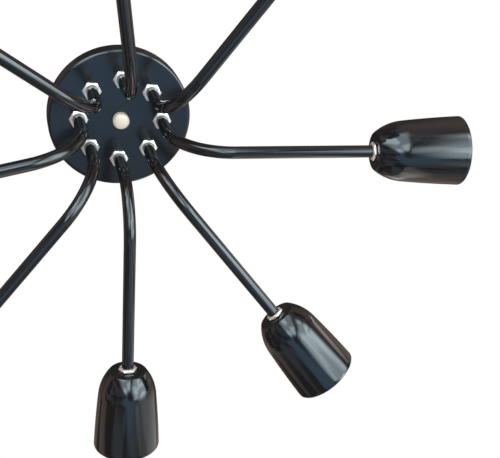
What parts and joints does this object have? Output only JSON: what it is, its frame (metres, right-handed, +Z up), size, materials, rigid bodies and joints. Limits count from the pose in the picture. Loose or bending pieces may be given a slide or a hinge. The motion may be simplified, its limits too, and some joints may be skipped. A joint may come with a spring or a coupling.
{
  "type": "sputnik chandelier",
  "caption": "Ceiling light whose bent tube arms fan out from a shallow round canopy, each swivelling in its hole and ending in a flared bell cup with a screw lampholder.",
  "frame": {"origin": "middle of the canopy's open rim, in the plane of the ceiling, on the centre stud's axis", "axes": "+Z up into the ceiling; +X along the hole of arm 1 and along the bracket; the lamp hangs below the origin"},
  "size_m": [0.5382, 0.537, 0.1666],
  "materials": {
    "black_gloss_paint": "gloss black paint, smooth",
    "bright_nickel": "bright plated",
    "pale_nickel": "satin nickel",
    "zinc_plate": "zinc plated",
    "white_nylon": "moulded",
    "white_porcelain": "glazed",
    "brass": "rolled",
    "grey_sleeve": "woven sleeve",
    "flex_sheath": "smooth"
  },
  "bodies": {
    "ceiling_mount": {"canopy": "black_gloss_paint", "ceiling_bracket": "zinc_plate", "centre_stud": "zinc_plate", "stud_lock_nut": "zinc_plate", "finial": "pale_nickel", "terminal_block": "white_nylon", "terminal_barrels": "brass", "terminal_screws": "zinc_plate", "block_screw": "zinc_plate", "earth_screw": "brass", "wiring_loom": "grey_sleeve"},
    "arm_1": {"arm_tube_1": "black_gloss_paint", "arm_nuts_1": "bright_nickel", "cup_1": "black_gloss_paint", "lampholder_1": "white_porcelain", "socket_contacts_1": "brass", "arm_flex_1": "flex_sheath"},
    "arm_2": {"arm_tube_2": "black_gloss_paint", "arm_nuts_2": "bright_nickel", "cup_2": "black_gloss_paint", "lampholder_2": "white_porcelain", "socket_contacts_2": "brass", "arm_flex_2": "flex_sheath"},
    "arm_3": {"arm_tube_3": "black_gloss_paint", "arm_nuts_3": "bright_nickel", "cup_3": "black_gloss_paint", "lampholder_3": "white_porcelain", "socket_contacts_3": "brass", "arm_flex_3": "flex_sheath"},
    "arm_4": {"arm_tube_4": "black_gloss_paint", "arm_nuts_4": "bright_nickel", "cup_4": "black_gloss_paint", "lampholder_4": "white_porcelain", "socket_contacts_4": "brass", "arm_flex_4": "flex_sheath"},
    "arm_5": {"arm_tube_5": "black_gloss_paint", "arm_nuts_5": "bright_nickel", "cup_5": "black_gloss_paint", "lampholder_5": "white_porcelain", "socket_contacts_5": "brass", "arm_flex_5": "flex_sheath"},
    "arm_6": {"arm_tube_6": "black_gloss_paint", "arm_nuts_6": "bright_nickel", "cup_6": "black_gloss_paint", "lampholder_6": "white_porcelain", "socket_contacts_6": "brass", "arm_flex_6": "flex_sheath"},
    "arm_7": {"arm_tube_7": "black_gloss_paint", "arm_nuts_7": "bright_nickel", "cup_7": "black_gloss_paint", "lampholder_7": "white_porcelain", "socket_contacts_7": "brass", "arm_flex_7": "flex_sheath"},
    "arm_8": {"arm_tube_8": "black_gloss_paint", "arm_nuts_8": "bright_nickel", "cup_8": "black_gloss_paint", "lampholder_8": "white_porcelain", "socket_contacts_8": "brass", "arm_flex_8": "flex_sheath"}
  },
  "joints": [
    {"name": "arm_swivel_1", "type": "hinge", "parent": "ceiling_mount", "child": "arm_1", "pos_m": [0.035, 0, -0.015], "axis": [0, 0, 1], "range_deg": [-15, 15]},
    {"name": "arm_swivel_2", "type": "hinge", "parent": "ceiling_mount", "child": "arm_2", "pos_m": [0.02475, 0.02475, -0.015], "axis": [0, 0, 1], "range_deg": [-15, 15]},
    {"name": "arm_swivel_3", "type": "hinge", "parent": "ceiling_mount", "child": "arm_3", "pos_m": [0, 0.035, -0.015], "axis": [0, 0, 1], "range_deg": [-15, 15]},
    {"name": "arm_swivel_4", "type": "hinge", "parent": "ceiling_mount", "child": "arm_4", "pos_m": [-0.02475, 0.02475, -0.015], "axis": [0, 0, 1], "range_deg": [-15, 15]},
    {"name": "arm_swivel_5", "type": "hinge", "parent": "ceiling_mount", "child": "arm_5", "pos_m": [-0.035, 0, -0.015], "axis": [0, 0, 1], "range_deg": [-15, 15]},
    {"name": "arm_swivel_6", "type": "hinge", "parent": "ceiling_mount", "child": "arm_6", "pos_m": [-0.02475, -0.02475, -0.015], "axis": [0, 0, 1], "range_deg": [-15, 15]},
    {"name": "arm_swivel_7", "type": "hinge", "parent": "ceiling_mount", "child": "arm_7", "pos_m": [0, -0.035, -0.015], "axis": [0, 0, 1], "range_deg": [-15, 15]},
    {"name": "arm_swivel_8", "type": "hinge", "parent": "ceiling_mount", "child": "arm_8", "pos_m": [0.02475, -0.02475, -0.015], "axis": [0, 0, 1], "range_deg": [-15, 15]}
  ]
}
